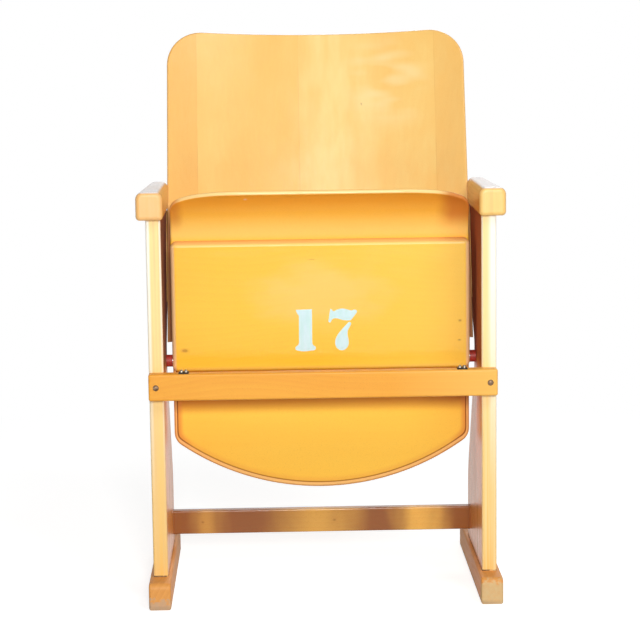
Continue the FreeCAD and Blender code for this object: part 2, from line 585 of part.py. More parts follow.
for side, sign in SIDES:
    middle = f"{sign} * {MIDDLE}"
    panel_holes = []

    pegs, foot_holes = dowel_pair(f"{side}_foot_dowel", middle, f"{FRONT} + dims.foot_dowel_edge",
                                  f"{HIP} - dims.foot_dowel_edge", "dims.foot_height")
    foot_dowels += pegs
    panel_holes += foot_holes
    foot(side, sign, foot_holes)

    pegs, arm_holes = dowel_pair(f"{side}_armrest_dowel", middle,
                                 f"{ARM_FRONT} + dims.arm_dowel_edge", f"{ARM_REAR} - dims.arm_dowel_edge",
                                 "dims.panel_top")
    arm_dowels += pegs
    panel_holes += arm_holes
    armrest(side, sign, [*arm_holes, behind_arms])

    spot = (middle, f"{FRONT} - dims.rail_thickness", "dims.rail_top - dims.rail_height / 2", TO_REAR)
    rail_screws.append(wood_screw(f"{side}_rail_screw", "dims.rail_screw_length", *spot))
    hole = screw_hole(f"{side}_rail_screw_hole", "dims.rail_screw_length", *spot)
    rail_holes.append(hole)
    panel_holes.append(hole)

    for level, shift in (("lower", -1), ("upper", 1)):
        name = f"{side}_{level}_stretcher_screw"
        height = f"dims.stretcher_low + (dims.stretcher_height + {shift} * dims.stretcher_screw_pitch) / 2"
        along = f"{STRETCHER_FACE} + dims.stretcher_thickness / 2"
        spot = (f"{sign} * {OUTER}", along, height, INWARD[sign])
        stretcher_screws.append(wood_screw(name, "dims.stretcher_screw_length", *spot))
        hole = screw_hole(f"{name}_hole", "dims.stretcher_screw_length", *spot)
        stretcher_holes.append(hole)
        panel_holes.append(hole)

    # The cleat's fixings are set out in the back's own frame.
    cleat_holes = []
    lean_holes = []
    near_x = f"{sign} * ({INNER} - dims.cleat_width)"
    near_y = f"{CLEAT_TOUCH} + {CLEAT_SLOPE} * dims.cleat_width / 2 + {CLEAT_RUN} / 2"
    rear_y = f"{CLEAT_TOUCH} + {CLEAT_RUN}"
    to_back = Rotation(Vector(0, 0, 1), -sign * size(CLEAT_TURN)) * TO_FRONT
    bite = "dims.cleat_thickness + dims.cleat_gap + dims.back_screw_bite"
    for level, base, shift in (("lower", "dims.cleat_start", "+"),
                               ("upper", "dims.cleat_start + dims.cleat_length", "-")):
        spot = (near_x, near_y, f"{base} {shift} dims.cleat_screw_edge", OUTWARD[sign])
        name = f"{side}_{level}_cleat_screw"
        cleat_screws.append(wood_screw(name, "dims.cleat_screw_length", *spot))
        hole = screw_hole(f"{name}_hole", "dims.cleat_screw_length", *spot)
        cleat_holes.append(hole)
        lean_holes.append(hole)
        spot = (f"{sign} * {CLEAT_MIDDLE}", rear_y, f"{base} {shift} dims.back_screw_edge", to_back)
        name = f"{side}_{level}_back_screw"
        back_screws.append(wood_screw(name, bite, *spot))
        hole = screw_hole(f"{name}_hole", bite, *spot)
        cleat_holes.append(hole)
        back_holes.append(hole)
    panel_holes.append(leaned(group(f"{side}_cleat_screw_holes", lean_holes)))
    back_cleat(side, sign, cleat_holes)

    # Pivot: a steel sleeve in the side panel, a steel pin in the seat board and a red bush between them.
    pivot = ("dims.pivot_height", OUTWARD[sign])
    sleeve_spot = (f"{sign} * {INNER}", PIVOT_Y, *pivot)
    bore = "dims.pin_diameter + 2 * dims.running_gap"
    piece(f"{side}_pivot_sleeve",
          ring(f"{side}_pivot_sleeve", "dims.sleeve_diameter", bore, "dims.sleeve_length", *sleeve_spot))
    panel_holes.append(rod(f"{side}_sleeve_hole", "dims.sleeve_diameter + 2 * dims.fixing_gap",
                           "dims.sleeve_length", *sleeve_spot))
    pin_length = "dims.pin_hold + dims.seat_side_gap + dims.pin_reach"
    pin_spot = (f"{sign} * ({SEAT_HALF} - dims.pin_hold)", PIVOT_Y, *pivot)
    piece(f"{side}_pivot_pin", rod(f"{side}_pivot_pin", "dims.pin_diameter", pin_length, *pin_spot))
    piece(f"{side}_pivot_bush",
          ring(f"{side}_pivot_bush", "dims.bush_diameter", bore, "dims.seat_side_gap - dims.side_play",
               f"{sign} * {SEAT_HALF}", PIVOT_Y, *pivot))

    # Stop: a peg with a rubber buffer that the tipped-up seat leans on.
    reach = "dims.seat_side_gap + dims.stop_catch"
    stop_y = f"{SHELL_FACE} - dims.stop_play - dims.stop_buffer / 2"
    stop = (stop_y, "dims.pivot_height - dims.stop_drop", OUTWARD[sign])
    piece(f"{side}_stop_peg", rod(f"{side}_stop_peg", "dims.stop_peg", f"{reach} + dims.stop_hold",
                                  f"{sign} * ({INNER} - ({reach}))", *stop))
    panel_holes.append(rod(f"{side}_stop_hole", "dims.stop_peg + 2 * dims.fixing_gap", "dims.stop_hold",
                           f"{sign} * {INNER}", *stop))
    piece(f"{side}_stop_buffer",
          ring(f"{side}_stop_buffer", "dims.stop_buffer", "dims.stop_peg + 2 * dims.fixing_gap", reach,
               f"{sign} * ({INNER} - ({reach}))", *stop))
    side_panel(side, sign, panel_holes)

    # Rest plate on the front rail, under the end of the lowered seat.
    rest_middle = f"{sign} * ({INNER} - dims.rest_inset)"
    rest_y = f"{FRONT} - dims.rail_thickness / 2"
    rest_holes = []
    for number, shift in enumerate((-1, 1), start=1):
        name = f"{side}_rest_screw_{number}"
        across = f"{rest_middle} + {shift} * dims.rest_pitch / 2"
        spot = (across, rest_y, "dims.rail_top + dims.rest_thickness", DOWN)
        rest_screws.append(wood_screw(name, "dims.rest_screw_length", *spot, kind="rest_screw"))
        hole = screw_hole(f"{name}_hole", "dims.rest_screw_length", *spot, kind="rest_screw")
        rest_holes.append(hole)
        rail_holes.append(hole)
    plate = block(f"{side}_rest_plate_blank", "dims.rest_width", "dims.rest_length", "dims.rest_thickness",
                  f"{rest_middle} - dims.rest_width / 2", f"{rest_y} - dims.rest_length / 2",
                  "dims.rail_top")
    piece(f"{side}_rest_plate", cut(f"{side}_rest_plate", plate, rest_holes))

front_rail(rail_holes)
stretcher(stretcher_holes)
back([leaned(group("back_screw_holes", back_holes))])

# The seat: plywood screwed to its board.
seat_screws = []
seat_holes = []
for level in ("low", "high"):
    for number, shift in enumerate((-1, 0, 1), start=1):
        screw, hole = seat_screw(f"seat_screw_{level}_{number}", f"{shift} * dims.seat_screw_spread",
                                 f"dims.pivot_height + dims.seat_screw_{level}")
        seat_screws.append(screw)
        seat_holes.append(hole)
seat_shell(seat_holes)
pin_holes = [rod(f"{side}_pin_hole", "dims.pin_diameter + 2 * dims.fixing_gap", "dims.pin_hold",
                 f"{sign} * {SEAT_HALF}", PIVOT_Y, "dims.pivot_height", INWARD[sign])
             for side, sign in SIDES]
seat_board(seat_holes + pin_holes)

piece("foot_dowels", group("foot_dowels", foot_dowels))
piece("armrest_dowels", group("armrest_dowels", arm_dowels))
piece("front_rail_screws", group("front_rail_screws", rail_screws))
piece("stretcher_screws", group("stretcher_screws", stretcher_screws))
piece("back_cleat_screws", leaned(group("back_cleat_screws", cleat_screws)))
piece("backrest_screws", leaned(group("backrest_screws", back_screws)))
piece("rest_plate_screws", group("rest_plate_screws", rest_screws))
piece("seat_screws", group("seat_screws", seat_screws))

doc.recompute()
failed = [item.Label for item in doc.Objects if "Invalid" in item.State or "Error" in item.State]
failed += [item.Label for item in nodes if item.Shape.isNull() or not item.Shape.isValid()]
if failed:
    raise RuntimeError("failed: " + ", ".join(failed))

os.makedirs("parts", exist_ok=True)
for item in nodes:
    item.Shape.exportStep(f"parts/{item.Label}.step")
    print(item.Label, len(item.Shape.Solids), round(item.Shape.Volume))
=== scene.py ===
import json
import math

import bpy
from mathutils import Matrix, Vector


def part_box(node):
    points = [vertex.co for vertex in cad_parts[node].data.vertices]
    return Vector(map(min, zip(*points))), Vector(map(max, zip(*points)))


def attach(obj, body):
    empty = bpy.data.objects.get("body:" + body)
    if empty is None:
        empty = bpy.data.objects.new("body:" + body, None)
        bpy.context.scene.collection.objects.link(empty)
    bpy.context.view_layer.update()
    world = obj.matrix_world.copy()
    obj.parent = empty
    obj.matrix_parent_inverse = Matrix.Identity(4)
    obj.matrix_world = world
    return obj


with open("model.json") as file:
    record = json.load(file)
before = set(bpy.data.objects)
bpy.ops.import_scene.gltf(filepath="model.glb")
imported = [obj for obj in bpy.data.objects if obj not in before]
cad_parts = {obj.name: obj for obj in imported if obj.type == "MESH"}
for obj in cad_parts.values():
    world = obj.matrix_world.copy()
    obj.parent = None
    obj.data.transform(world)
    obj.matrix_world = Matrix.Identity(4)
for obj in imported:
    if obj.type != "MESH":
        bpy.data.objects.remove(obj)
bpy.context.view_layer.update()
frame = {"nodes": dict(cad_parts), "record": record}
nodes = frame["nodes"]

# Sizes repeated from the part's source, in metres. Places are taken from the pieces.
BACK_ANGLE = math.radians(14.4)
BACK_BEND = 0.680
BACK_THICKNESS = 0.010
BACK_DEPTH = 0.122
BACK_LOW = 0.378
BACK_HALF = 0.2362
LIP_RADIUS = 0.072
LIP_START = 0.1855
SHELL_THICKNESS = 0.007
SHELL_TAIL = 0.203
LIP_ANGLE = math.radians(75.0)
REAR_SWEEP = 0.378
PANEL_THICKNESS = 0.022

PANEL_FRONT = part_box("left_side_panel")[0].y
PANEL_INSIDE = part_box("right_side_panel")[0].x
FOOT_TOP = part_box("left_foot")[1].z
FOOT_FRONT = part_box("left_foot")[0].y
ARM_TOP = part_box("left_armrest")[1].z
ARM_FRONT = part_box("left_armrest")[0].y
BOARD_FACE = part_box("seat_board")[0].y
BOARD_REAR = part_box("seat_board")[1].y
BOARD_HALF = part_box("seat_board")[1].x
BOARD_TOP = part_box("seat_board")[1].z
PIVOT = frame["record"]["behaviour"]["joints"][0]["pos_m"]
BACK_FOOT = (0.0, PANEL_FRONT + BACK_DEPTH, BACK_LOW)
BACK_AXIS = math.sqrt(BACK_BEND ** 2 - BACK_HALF ** 2)
LIP_AXIS = (0.0, BOARD_REAR - LIP_RADIUS, PIVOT[2] + LIP_START)
LIP_END = (0.0, -math.sin(LIP_ANGLE), math.cos(LIP_ANGLE))
SWEEP_AXIS = PIVOT[2] - SHELL_TAIL + REAR_SWEEP

# Turns that lay the grain, which runs along Z, the other ways.
ALONG_X = (0.0, math.pi / 2, 0.0)
ALONG_Y = (math.pi / 2, 0.0, 0.0)
ALONG_Z = (0.0, 0.0, 0.0)


def shade(red, green, blue):
    """A colour as it looks on screen, 0 to 255, as the linear colour that a shader takes."""
    linear = []
    for level in (red, green, blue):
        level /= 255
        linear.append(level / 12.92 if level <= 0.04045 else ((level + 0.055) / 1.055) ** 2.4)
    return (*linear, 1.0)


# Tones that several finishes share.
RAY_BROWN = shade(150, 84, 34)
SCUFF_BROWN = shade(128, 82, 44)
BARE_BEECH = shade(240, 206, 160)
PLY_ALONG = shade(226, 166, 96)
PLY_ACROSS = shade(248, 202, 144)
GLUE_BROWN = shade(206, 142, 76)
KNOT_BROWN = shade(146, 84, 20)
# Painted shade: the dark brown put where the seat shadows the back.
PAINTED_SHADE_BROWN = shade(118, 44, 12)
WHITE = (1.0, 1.0, 1.0, 1.0)


class Wiring:
    """Adds nodes to one node tree. An input takes a value, or another node's output."""

    def __init__(self, tree):
        self.tree = tree

    def feed(self, socket, value):
        if isinstance(value, bpy.types.NodeSocket):
            self.tree.links.new(value, socket)
        else:
            socket.default_value = value

    def node(self, kind, values=None, **settings):
        item = self.tree.nodes.new(kind)
        for name, setting in settings.items():
            setattr(item, name, setting)
        for key, value in (values or {}).items():
            self.feed(item.inputs[key], value)
        return item

    def sum_up(self, operation, first, second=0.0, third=None):
        values = {0: first, 1: second}
        if third is not None:
            values[2] = third
        return self.node("ShaderNodeMath", values, operation=operation).outputs[0]

    def product(self, *factors):
        result = factors[0]
        for factor in factors[1:]:
            result = self.sum_up("MULTIPLY", result, factor)
        return result

    def spread(self, value, low, high, to_low=0.0, to_high=1.0, smooth=False):
        kind = "SMOOTHSTEP" if smooth else "LINEAR"
        values = {0: value, 1: low, 2: high, 3: to_low, 4: to_high}
        return self.node("ShaderNodeMapRange", values, interpolation_type=kind).outputs[0]

    def mixed(self, amount, first, second, mode="MIX"):
        item = self.node("ShaderNodeMix", data_type="RGBA", blend_type=mode)
        self.feed(item.inputs[0], amount)
        self.feed(item.inputs[6], first)
        self.feed(item.inputs[7], second)
        return item.outputs[2]

    def stretched(self, place, across, through, along):
        values = {0: place, 1: (across, through, along)}
        return self.node("ShaderNodeVectorMath", values, operation="MULTIPLY").outputs[0]

    def moved(self, place, step):
        return self.node("ShaderNodeVectorMath", {0: place, 1: step}, operation="ADD").outputs[0]

    def agreement(self, first, second):
        """How far two directions agree: 1 for the same one, 0 for square to each other."""
        item = self.node("ShaderNodeVectorMath", {0: first, 1: second}, operation="DOT_PRODUCT")
        return item.outputs["Value"]

    def parts(self, place):
        return self.node("ShaderNodeSeparateXYZ", {0: place}).outputs

    def noise(self, place, scale, detail=2.0, roughness=0.5):
        values = {"Vector": place, "Scale": scale, "Detail": detail, "Roughness": roughness}
        return self.node("ShaderNodeTexNoise", values).outputs[0]

    def group(self, tree, values):
        item = self.node("ShaderNodeGroup", node_tree=tree)
        for key, value in values.items():
            self.feed(item.inputs[key], value)
        return item.outputs


SOCKETS = {"value": "NodeSocketFloat", "colour": "NodeSocketColor", "place": "NodeSocketVector"}


def effect(name, takes, gives):
    """An empty shader node group with named inputs and outputs."""
    tree = bpy.data.node_groups.new(name, "ShaderNodeTree")
    for socket, kind in takes.items():
        tree.interface.new_socket(name=socket, in_out="INPUT", socket_type=SOCKETS[kind])
    for socket, kind in gives.items():
        tree.interface.new_socket(name=socket, in_out="OUTPUT", socket_type=SOCKETS[kind])
    wires = Wiring(tree)
    return wires, wires.node("NodeGroupInput").outputs, wires.node("NodeGroupOutput").inputs


def beech_grain():
    """Beech along Z: broad bands of tone, growth rings, streaks, fibres and the short dark rays."""
    wires, given, out = effect(
        "beech_grain",
        {"Place": "place", "Pale": "colour", "Deep": "colour", "Bands": "value", "Rings": "value",
         "Streaks": "value", "Rays": "value"},
        {"Colour": "colour", "Rough": "value", "Height": "value"})
    place = given["Place"]
    drift = wires.noise(place, 3.2, 1.0)
    wander = wires.product(wires.sum_up("SUBTRACT", drift, 0.5), 0.05)
    bent = wires.moved(place, wander)
    bands = wires.noise(wires.stretched(bent, 11.0, 11.0, 1.3), 1.0, 2.0)
    rings = wires.node("ShaderNodeTexWave", {
        "Vector": wires.stretched(wires.moved(bent, (0.11, 0.06, 0.0)), 1.0, 1.0, 0.10),
        "Scale": 46.0, "Distortion": 7.0, "Detail": 2.0, "Detail Scale": 0.35},
        wave_type="RINGS", rings_direction="Z", wave_profile="SAW").outputs[1]
    streaks = wires.noise(wires.stretched(bent, 150.0, 150.0, 3.0), 1.0, 3.0, 0.6)
    fibres = wires.noise(wires.stretched(bent, 900.0, 900.0, 12.0), 1.0, 2.0, 0.6)
    specks = wires.noise(wires.stretched(place, 2300.0, 2300.0, 430.0), 1.0, 0.0)
    rays = wires.spread(specks, 0.64, 0.74)
    tone = wires.sum_up("MULTIPLY_ADD", wires.sum_up("SUBTRACT", bands, 0.5), given["Bands"], 0.42)
    tone = wires.sum_up("MULTIPLY_ADD", wires.sum_up("SUBTRACT", rings, 0.5), given["Rings"], tone)
    tone = wires.sum_up("MULTIPLY_ADD", wires.sum_up("SUBTRACT", streaks, 0.5), given["Streaks"], tone)
    fibre_share = wires.product(given["Streaks"], 0.4)
    tone = wires.sum_up("MULTIPLY_ADD", wires.sum_up("SUBTRACT", fibres, 0.5), fibre_share, tone)
    colour = wires.mixed(wires.spread(tone, 0.0, 1.0), given["Pale"], given["Deep"])
    colour = wires.mixed(wires.product(rays, given["Rays"]), colour, RAY_BROWN, "MULTIPLY")
    wires.feed(out["Colour"], colour)
    wires.feed(out["Rough"], wires.spread(streaks, 0.3, 0.7, 0.17, 0.27))
    wires.feed(out["Height"], wires.sum_up("MULTIPLY_ADD", rays, -0.6, fibres))
    return wires.tree


def lacquer_ripple():
    """The slow unevenness of lacquer put on by brush, and its finer skin."""
    wires, given, out = effect("lacquer_ripple", {"Place": "place"}, {"Height": "value"})
    slow = wires.noise(wires.stretched(given["Place"], 34.0, 34.0, 22.0), 1.0, 1.0)
    skin = wires.noise(given["Place"], 210.0, 2.0)
    wires.feed(out["Height"], wires.sum_up("MULTIPLY_ADD", skin, 0.06, slow))
    return wires.tree


def handling_marks():
    """Sparse small dents and scuffs, with ragged outlines."""
    wires, given, out = effect("handling_marks", {"Place": "place", "Amount": "value"}, {"Mark": "value"})
    ragged = wires.node("ShaderNodeTexNoise", {"Vector": given["Place"], "Scale": 260.0, "Detail": 3.0})
    place = wires.moved(given["Place"], wires.stretched(ragged.outputs[1], 0.006, 0.006, 0.006))
    long_cells = wires.stretched(place, 1.0, 1.0, 0.6)
    cells = wires.node("ShaderNodeTexVoronoi", {"Vector": long_cells, "Scale": 13.0})
    dents = wires.spread(cells.outputs["Distance"], 0.028, 0.014)
    chance = wires.node("ShaderNodeSeparateColor", {0: cells.outputs["Color"]}).outputs[0]
    kept = wires.spread(chance, 0.62, 0.66)
    wires.feed(out["Mark"], wires.product(dents, kept, given["Amount"]))
    return wires.tree


def rubbed_edges():
    """Where corners stand out and hands and shoes rub them, broken up by noise."""
    wires, given, out = effect("rubbed_edges", {"Place": "place", "Amount": "value"}, {"Rub": "value"})
    soft = wires.node("ShaderNodeBevel", {"Radius": 0.004}, samples=6).outputs[0]
    sharp = wires.node("ShaderNodeNewGeometry").outputs["True Normal"]
    edge = wires.spread(wires.agreement(soft, sharp), 0.985, 0.86)
    patches = wires.spread(wires.noise(given["Place"], 42.0, 4.0, 0.65), 0.42, 0.66)
    wires.feed(out["Rub"], wires.product(edge, patches, given["Amount"]))
    return wires.tree


def ply_layers():
    """The veneers that show where plywood is cut or rounded over, from the depth below its front face."""
    wires, given, out = effect(
        "ply_layers",
        {"Depth": "value", "Thickness": "value", "Face": "value", "Share": "value", "Colour": "colour"},
        {"Colour": "colour", "Groove": "value"})
    below_rear = wires.sum_up("SUBTRACT", given["Thickness"], given["Depth"])
    depth = wires.sum_up("MINIMUM", given["Depth"], below_rear)
    under_face = wires.sum_up("SUBTRACT", depth, given["Face"])
    cut = wires.product(wires.spread(under_face, 0.0, 0.00006), given["Share"])
    near_front = wires.sum_up("LESS_THAN", given["Depth"], below_rear)
    glue = wires.product(cut, wires.spread(under_face, 0.00055, 0.00035), near_front)
    stack = wires.spread(depth, 0.0008, 0.0052, 0.0, 3.4)
    cross = wires.sum_up("LESS_THAN", wires.sum_up("MODULO", stack, 2.0), 1.0)
    ply = wires.mixed(cross, PLY_ACROSS, PLY_ALONG)
    colour = wires.mixed(cut, given["Colour"], ply)
    wires.feed(out["Colour"], wires.mixed(glue, colour, GLUE_BROWN))
    wires.feed(out["Groove"], glue)
    return wires.tree


GRAIN = beech_grain()
RIPPLE = lacquer_ripple()
MARKS = handling_marks()
RUBS = rubbed_edges()
LAYERS = ply_layers()


def bare_material(name):
    """A material with only its output, and the wiring to build it with."""
    material = bpy.data.materials.new(name)
    material.use_nodes = True
    material.node_tree.nodes.clear()
    wires = Wiring(material.node_tree)
    return material, wires, wires.node("ShaderNodeOutputMaterial").inputs["Surface"]


def own_place(wires):
    """A point's place on its own piece, in metres."""
    return wires.node("ShaderNodeTexCoord").outputs["Object"]


def lacquered(name, pale, deep, turn, seed, bands=0.5, rings=0.25, streaks=0.35, rays=0.16, marks=0.6,
              rub=0.35, dull=0.0, sheen=0.5, layers=None, touches=()):
    """Beech or beech plywood under honey-coloured gloss lacquer."""
    material, wires, surface = bare_material(name)
    place = own_place(wires)
    along = wires.node("ShaderNodeMapping", {
        "Vector": place, "Rotation": turn, "Location": (seed, seed, seed)}).outputs[0]
    grain = wires.group(GRAIN, {"Place": along, "Pale": pale, "Deep": deep, "Bands": bands, "Rings": rings,
                                "Streaks": streaks, "Rays": rays})
    colour = grain["Colour"]
    rough = wires.sum_up("ADD", grain["Rough"], dull)
    height = grain["Height"]
    for touch in touches:
        colour, rough = touch(wires, place, colour, rough)
    if layers is not None:
        depth, thickness, face, share = layers(wires, place)
        edge = wires.group(LAYERS, {"Depth": depth, "Thickness": thickness, "Face": face, "Share": share,
                                    "Colour": colour})
        colour = edge["Colour"]
        height = wires.sum_up("MULTIPLY_ADD", edge["Groove"], -0.8, height)
    scuffs = wires.group(MARKS, {"Place": along, "Amount": marks})["Mark"]
    colour = wires.mixed(scuffs, colour, SCUFF_BROWN)
    worn = wires.group(RUBS, {"Place": place, "Amount": rub})["Rub"]
    colour = wires.mixed(worn, colour, BARE_BEECH)
    rough = wires.sum_up("MULTIPLY_ADD", wires.sum_up("MAXIMUM", worn, scuffs), 0.25, rough)
    ripple = wires.group(RIPPLE, {"Place": along})["Height"]
    skin = wires.node("ShaderNodeBump", {"Height": ripple, "Strength": 1.0, "Distance": 0.00022})
    bump = wires.node("ShaderNodeBump", {
        "Height": height, "Strength": 0.10, "Distance": 0.0004, "Normal": skin.outputs[0]})
    finish = wires.node("ShaderNodeBsdfPrincipled", {
        "Base Color": colour, "Roughness": rough, "Normal": bump.outputs[0], "IOR": 1.5,
        "Specular IOR Level": sheen})
    wires.feed(surface, finish.outputs[0])
    return material


LACQUER_SKIN = 0.00018


def radius_of(wires, first, second):
    """The length of the diagonal of two lengths."""
    return wires.sum_up("SQRT", wires.sum_up("MULTIPLY_ADD", second, second, wires.product(first, first)))


STAINED_EDGE = 0.22


def back_depth(wires, place):
    """How far a point is behind the front face of the bent and leaning back; its edges are stained over."""
    upright = wires.node("ShaderNodeMapping", {
        "Vector": place, "Location": BACK_FOOT, "Rotation": (-BACK_ANGLE, 0.0, 0.0)}, vector_type="TEXTURE")
    across, behind, _ = wires.parts(upright.outputs[0])
    from_axis = radius_of(wires, across, wires.sum_up("ADD", behind, BACK_AXIS))
    return wires.sum_up("SUBTRACT", from_axis, BACK_BEND), BACK_THICKNESS, LACQUER_SKIN, STAINED_EDGE


def shell_depth(wires, place):
    """How far a point is above the seat's underside, round its front bend too; its rear edge is bare."""
    _, behind, height = wires.parts(place)
    out = wires.sum_up("SUBTRACT", behind, LIP_AXIS[1])
    above = wires.sum_up("MAXIMUM", wires.sum_up("SUBTRACT", height, LIP_AXIS[2]), 0.0)
    bare = wires.spread(height, 0.42, 0.34)
    face = wires.spread(bare, 0.0, 1.0, LACQUER_SKIN, 0.00003)
    depth = wires.sum_up("SUBTRACT", radius_of(wires, out, above), LIP_RADIUS)
    return depth, SHELL_THICKNESS, face, bare


def mixed_dulled(wires, colour, rough, amount, worn, roughening):
    """A colour mixed in, with the gloss gone there; it carries real wear as well as painted light and shade.
    """
    return wires.mixed(amount, colour, worn), wires.sum_up("MULTIPLY_ADD", amount, roughening, rough)


def kicked_end(line, worn, share):
    """A foot's front end, with the lacquer kicked off below a ragged line."""
    def touch(wires, place, colour, rough):
        _, behind, height = wires.parts(place)
        ragged = wires.sum_up("SUBTRACT", wires.noise(place, 95.0, 4.0, 0.65), 0.5)
        low = wires.spread(wires.sum_up("MULTIPLY_ADD", ragged, 0.05, height), line + 0.004, line - 0.003)
        end = wires.spread(behind, FOOT_FRONT + 0.016, FOOT_FRONT + 0.004)
        mottle = wires.spread(wires.noise(place, 160.0, 3.0), 0.3, 0.7, share * 0.7, share)
        return mixed_dulled(wires, colour, rough, wires.product(low, end, mottle), worn, 0.3)
    return touch


FLOOR_DUST = shade(176, 146, 116)


def grimy_sole(wires, place, colour, rough):
    """The grey of floor polish and dust along the bottom of a foot."""
    height = wires.parts(place)[2]
    ragged = wires.sum_up("MULTIPLY_ADD", wires.noise(place, 45.0, 4.0, 0.6), 0.010, height)
    low = wires.product(wires.spread(ragged, 0.013, 0.006), 0.7)
    return mixed_dulled(wires, colour, rough, low, FLOOR_DUST, 0.3)


def painted_highlight_end(front, depth, high, low, tint):
    """A front edge or end that faces the light, painted paler as a highlight, more so towards its top, with
    its gloss dulled.
    """
    def touch(wires, place, colour, rough):
        _, behind, height = wires.parts(place)
        face = wires.spread(behind, front + depth, front + depth * 0.4)
        rise = wires.spread(height, 0.04, 0.42)
        streak = wires.noise(wires.stretched(place, 260.0, 260.0, 3.0), 1.0, 2.0, 0.6)
        painted_highlight = wires.mixed(rise, low, high)
        painted_highlight = wires.mixed(wires.spread(streak, 0.40, 0.62, 0.0, 0.55), painted_highlight, tint)
        return mixed_dulled(wires, colour, rough, wires.product(face, 0.9), painted_highlight, 0.16)
    return touch


def painted_shade_inside(tint):
    """Painted shade on the inside of a side panel beside the seat, where little light reaches, with the
    gloss dulled.
    """
    def touch(wires, place, colour, rough):
        across, behind, height = wires.parts(place)
        from_middle = wires.sum_up("ABSOLUTE", across)
        inner = wires.spread(from_middle, PANEL_INSIDE + 0.0015, PANEL_INSIDE + 0.0005)
        within = wires.spread(behind, PANEL_FRONT + 0.004, PANEL_FRONT + 0.012)
        upper = wires.spread(height, 0.330, 0.365, smooth=True)
        return mixed_dulled(wires, colour, rough, wires.product(inner, within, upper, 0.95), tint, 0.6)
    return touch


def painted_shade_margins(wires, place, colour, rough):
    """Painted shade on the lower sides of the back, where the tipped-up seat shadows them."""
    across, _, height = wires.parts(place)
    side = wires.spread(wires.sum_up("ABSOLUTE", across), 0.190, 0.215, smooth=True)
    lower = wires.spread(height, 0.600, 0.545, smooth=True)
    return mixed_dulled(wires, colour, rough, wires.product(side, lower, 0.85), PAINTED_SHADE_BROWN, 0.5)


# Near white for the painted reflections on the side panels' front corners.
CORNER_WHITE = shade(255, 250, 236)


def painted_corner_highlights(inner, outer):
    """Painted reflections of the white surroundings on a side panel's two front corners, near white over the
    given widths.
    """
    def touch(wires, place, colour, rough):
        across, behind, height = wires.parts(place)
        out = wires.sum_up("SUBTRACT", wires.sum_up("ABSOLUTE", across), PANEL_INSIDE)
        near_in = wires.spread(out, inner, inner * 0.5)
        near_out = wires.spread(out, PANEL_THICKNESS - outer, PANEL_THICKNESS - outer * 0.6)
        front = wires.spread(behind, PANEL_FRONT + 0.006, PANEL_FRONT + 0.003)
        rise = wires.spread(height, 0.16, 0.48, 0.05, 0.9)
        corner = wires.product(wires.sum_up("MAXIMUM", near_in, near_out), front, rise)
        return wires.mixed(corner, colour, CORNER_WHITE), rough
    return touch


JOINT_DIRT = shade(66, 34, 10)


def joint_line(wires, place, colour, rough):
    """The dark broken line where a side panel stands on its foot."""
    height = wires.parts(place)[2]
    near = wires.spread(height, FOOT_TOP + 0.0024, FOOT_TOP + 0.0010)
    broken = wires.spread(wires.noise(place, 120.0, 2.0), 0.38, 0.5, 0.25, 1.0)
    return mixed_dulled(wires, colour, rough, wires.product(near, broken), JOINT_DIRT, 0.4)


# Painted reflection on the tops of the armrests.
TOP_REFLECTION_WHITE = shade(252, 246, 246)


def painted_arm_top_reflection(wires, place, colour, rough):
    """Painted reflection of the white surroundings on the top of an armrest, mottled."""
    height = wires.parts(place)[2]
    top = wires.spread(height, ARM_TOP - 0.0022, ARM_TOP - 0.0006)
    mottle = wires.noise(wires.stretched(place, 30.0, 12.0, 30.0), 1.0, 3.0)
    patch = wires.spread(mottle, 0.3, 0.6, 0.8, 1.0)
    return wires.mixed(wires.product(top, patch), colour, TOP_REFLECTION_WHITE), rough


FADED_MIDDLE = 0.455
FADED_WIDE = 0.105
FADED_TALL = 0.052
FADED_RIGHT = shade(255, 212, 96)
FADED_HONEY = shade(252, 208, 122)


def faded_patch(wires, place, colour, rough):
    """The seat board's colour, faded round the number and a little towards the right."""
    across, _, height = wires.parts(place)
    wide = wires.product(across, 1 / FADED_WIDE)
    tall = wires.product(wires.sum_up("SUBTRACT", height, FADED_MIDDLE), 1 / FADED_TALL)
    cloud = wires.noise(wires.stretched(place, 16.0, 16.0, 34.0), 1.0, 3.0)
    ragged = wires.sum_up("MULTIPLY_ADD", cloud, 0.9, -0.45)
    reach = wires.sum_up("ADD", radius_of(wires, wide, tall), ragged)
    colour = wires.mixed(wires.spread(across, 0.0, 0.20, 0.0, 0.35), colour, FADED_RIGHT)
    paler = wires.product(wires.spread(reach, 1.25, 0.35, smooth=True), 0.5)
    return wires.mixed(paler, colour, FADED_HONEY), rough


# Painted reflection, highlight and shade on the seat board's rounded edges.
RIM_PINK = shade(250, 208, 166)
CREST_PALE = shade(250, 206, 120)
BROW_TAN = shade(240, 176, 100)


def painted_rim_light_and_shade(wires, place, colour, rough):
    """The rounded edges of the seat board: a paler painted reflection on its sides, a tan band of painted
    shade along the very top, and a painted highlight just below it, both with the gloss dulled.
    """
    across, _, height = wires.parts(place)
    side = wires.spread(wires.sum_up("ABSOLUTE", across), BOARD_HALF - 0.0075, BOARD_HALF - 0.0045)
    colour = wires.mixed(wires.product(side, 0.75), colour, RIM_PINK)
    crest = wires.spread(height, BOARD_TOP - 0.0085, BOARD_TOP - 0.0065)
    colour, rough = mixed_dulled(wires, colour, rough, wires.product(crest, 0.6), CREST_PALE, 0.5)
    brow = wires.spread(height, BOARD_TOP - 0.0050, BOARD_TOP - 0.0035)
    return mixed_dulled(wires, colour, rough, wires.product(brow, 0.85), BROW_TAN, 0.4)


# Painted light and painted shade for the seat's front bend.
BEND_PAINTED_LIGHT = shade(255, 216, 142)
HOLLOW_PAINTED_SHADE = shade(255, 158, 46)


